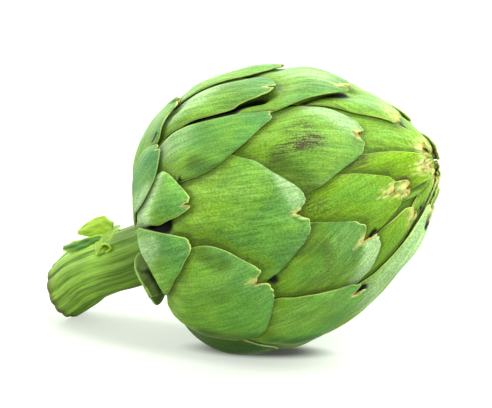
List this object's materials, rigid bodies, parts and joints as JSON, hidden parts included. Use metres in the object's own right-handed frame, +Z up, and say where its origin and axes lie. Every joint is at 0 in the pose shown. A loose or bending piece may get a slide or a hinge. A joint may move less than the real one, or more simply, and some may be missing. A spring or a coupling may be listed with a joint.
{
  "type": "artichoke",
  "caption": "Globe artichoke lying on its side: a round head of overlapping green bracts with notched tips on a short, bent, ribbed cut stem that carries a torn scrap of leaf.",
  "frame": {"origin": "centre of the bounding box in X and Y, on the surface that the artichoke lies on", "axes": "+X towards the tip of the head, -X towards the cut stem, +Z up"},
  "size_m": [0.1441, 0.0972, 0.1001],
  "materials": {
    "outer_bract": "waxy, satin, fine lengthwise fibres",
    "young_bract": "waxy, satin, paler and yellower, brown at the tips",
    "stem": "matt, ribbed lengthwise, pith at the cut",
    "leaf": "thin, fresh, soft sheen"
  },
  "bodies": {
    "root": {"base_bract_1": "outer_bract", "base_bract_2": "outer_bract", "base_bract_3": "outer_bract", "base_bract_4": "outer_bract", "base_bract_5": "outer_bract", "base_bract_6": "outer_bract", "base_bract_7": "outer_bract", "base_bract_8": "outer_bract", "base_bract_9": "outer_bract", "base_bract_10": "outer_bract", "base_bract_11": "outer_bract", "base_bract_12": "outer_bract", "lower_bract_1": "outer_bract", "lower_bract_2": "outer_bract", "lower_bract_3": "outer_bract", "lower_bract_4": "outer_bract", "lower_bract_5": "outer_bract", "lower_bract_6": "outer_bract", "middle_bract_1": "outer_bract", "middle_bract_2": "outer_bract", "middle_bract_3": "outer_bract", "middle_bract_4": "outer_bract", "middle_bract_5": "outer_bract", "middle_bract_6": "outer_bract", "middle_bract_7": "outer_bract", "middle_bract_8": "outer_bract", "middle_bract_9": "outer_bract", "upper_bract_1": "outer_bract", "upper_bract_2": "outer_bract", "upper_bract_3": "outer_bract", "upper_bract_4": "outer_bract", "upper_bract_5": "outer_bract", "upper_bract_6": "outer_bract", "upper_bract_7": "outer_bract", "upper_bract_8": "outer_bract", "tip_bract_1": "young_bract", "tip_bract_2": "young_bract", "tip_bract_3": "young_bract", "tip_bract_4": "young_bract", "tip_bract_5": "young_bract", "tip_bract_6": "young_bract", "tip_bract_7": "young_bract", "tip_bract_8": "young_bract", "tip_bract_9": "young_bract", "tip_bract_10": "young_bract", "tip_bract_11": "young_bract", "tip_bract_12": "young_bract", "tip_bract_13": "young_bract", "crown_bract_1": "young_bract", "crown_bract_2": "young_bract", "crown_bract_3": "young_bract", "crown_bract_4": "young_bract", "inner_bud": "young_bract", "stem": "stem", "stem_leaf": "leaf"}
  },
  "joints": []
}
